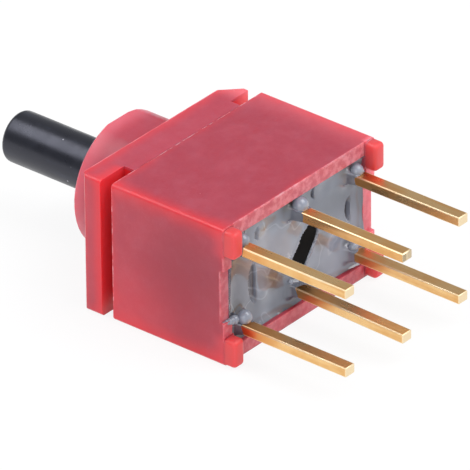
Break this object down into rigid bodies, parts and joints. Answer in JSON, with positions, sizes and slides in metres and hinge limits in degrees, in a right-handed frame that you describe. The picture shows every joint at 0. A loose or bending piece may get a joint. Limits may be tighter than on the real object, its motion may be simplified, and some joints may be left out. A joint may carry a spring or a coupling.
{
  "type": "toggle switch",
  "caption": "Sealed ultra-miniature toggle switch for a circuit board, two poles, round lever that rests in the middle, potted back with straight terminals.",
  "frame": {"origin": "middle of the terminal grid, in the plane on which the four feet stand on a board", "axes": "+Y along the terminals, away from the lever; X along the lever's throw; +Z across the two rows of terminals, the switch lying on a long side"},
  "size_m": [0.0068, 0.0144, 0.0044],
  "materials": {
    "case_red": "translucent red moulding, satin",
    "cover_red": "translucent red moulding, satin",
    "lever_black": "black, fine satin with light scuffs",
    "yoke_white": "plain natural moulding",
    "pin_steel": "bright drawn",
    "base_black": "plain moulded",
    "seal_rubber": "matt",
    "plunger_brass": "bright turned",
    "spring_steel": "bright wire",
    "contact_gold": "thin gold over copper alloy",
    "potting_epoxy": "blue-grey cast resin, wet look",
    "terminal_gold": "thin gold over copper alloy, stamped"
  },
  "bodies": {
    "case": {"case": "case_red", "cover": "cover_red", "pivot_pin": "pin_steel", "pivot_retainer": "base_black", "stem_seal": "seal_rubber", "terminal_base": "base_black", "potting": "potting_epoxy", "terminal_upper_near": "terminal_gold", "terminal_upper_middle": "terminal_gold", "terminal_upper_far": "terminal_gold", "terminal_lower_near": "terminal_gold", "terminal_lower_middle": "terminal_gold", "terminal_lower_far": "terminal_gold"},
    "lever": {"lever": "lever_black", "yoke": "yoke_white"},
    "plunger_upper": {"plunger_upper": "plunger_brass", "spring_upper": "spring_steel"},
    "plunger_lower": {"plunger_lower": "plunger_brass", "spring_lower": "spring_steel"},
    "rocker_upper": {"rocker_upper": "contact_gold"},
    "rocker_lower": {"rocker_lower": "contact_gold"}
  },
  "joints": [
    {"name": "lever_tilt", "type": "hinge", "parent": "case", "child": "lever", "pos_m": [0, -0.0053, 0], "axis": [0, 0, 1], "range_deg": [-12, 12]},
    {"name": "rocker_upper_tilt", "type": "hinge", "parent": "case", "child": "rocker_upper", "pos_m": [0, -0.00241, 0.00127], "axis": [0, 0, 1], "range_deg": [-5.6, 5.6]},
    {"name": "rocker_lower_tilt", "type": "hinge", "parent": "case", "child": "rocker_lower", "pos_m": [0, -0.00241, -0.00127], "axis": [0, 0, 1], "range_deg": [-5.6, 5.6]},
    {"name": "plunger_upper_travel", "type": "slide", "parent": "lever", "child": "plunger_upper", "axis": [0, -1, 0], "range_m": [0, 0.00012], "stiffness_N_per_m": 5, "deforming": ["spring_upper"]},
    {"name": "plunger_lower_travel", "type": "slide", "parent": "lever", "child": "plunger_lower", "axis": [0, -1, 0], "range_m": [0, 0.00012], "stiffness_N_per_m": 5, "deforming": ["spring_lower"]}
  ],
  "couplings": [
    {"joint": "rocker_upper_tilt", "follows": "lever_tilt", "ratio": -0.45833},
    {"joint": "rocker_lower_tilt", "follows": "lever_tilt", "ratio": -0.45833}
  ]
}
